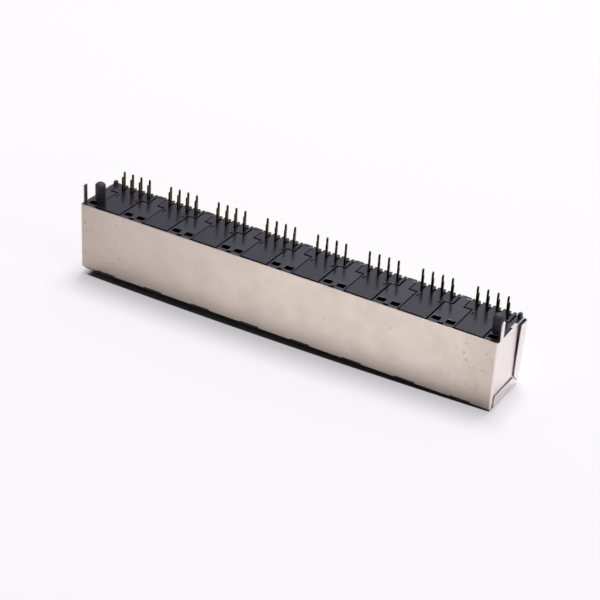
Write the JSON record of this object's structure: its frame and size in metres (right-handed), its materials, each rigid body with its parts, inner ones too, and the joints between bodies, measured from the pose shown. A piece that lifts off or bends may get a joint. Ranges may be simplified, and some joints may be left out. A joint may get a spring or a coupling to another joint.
{
  "type": "multi-port ethernet jack",
  "caption": "Vertical row of shielded modular jacks for a circuit board: plugs enter the mating face, staggered solder tails, pegs and ground tails leave the other side.",
  "frame": {"origin": "middle of the row on the plane of the mating face, under the middle of the whole part", "axes": "+X along the row of ports, +Y from the latch side to the contact side, +Z from the mating face to the board side"},
  "size_m": [0.1146, 0.015, 0.0224],
  "materials": {
    "shield_nickel": "satin nickel plate on sheet",
    "housing_plastic": "black moulded, slightly glossy",
    "insert_plastic": "black moulded, slightly glossy",
    "contact_gold": "gold flash on bronze wire"
  },
  "bodies": {
    "root": {"rear_shell": "shield_nickel", "front_shell": "shield_nickel", "housing": "housing_plastic", "contact_insert_1": "insert_plastic", "far_contacts_1": "contact_gold", "near_contacts_1": "contact_gold", "contact_insert_2": "insert_plastic", "far_contacts_2": "contact_gold", "near_contacts_2": "contact_gold", "contact_insert_3": "insert_plastic", "far_contacts_3": "contact_gold", "near_contacts_3": "contact_gold", "contact_insert_4": "insert_plastic", "far_contacts_4": "contact_gold", "near_contacts_4": "contact_gold", "contact_insert_5": "insert_plastic", "far_contacts_5": "contact_gold", "near_contacts_5": "contact_gold", "contact_insert_6": "insert_plastic", "far_contacts_6": "contact_gold", "near_contacts_6": "contact_gold", "contact_insert_7": "insert_plastic", "far_contacts_7": "contact_gold", "near_contacts_7": "contact_gold", "contact_insert_8": "insert_plastic", "far_contacts_8": "contact_gold", "near_contacts_8": "contact_gold"}
  },
  "joints": []
}
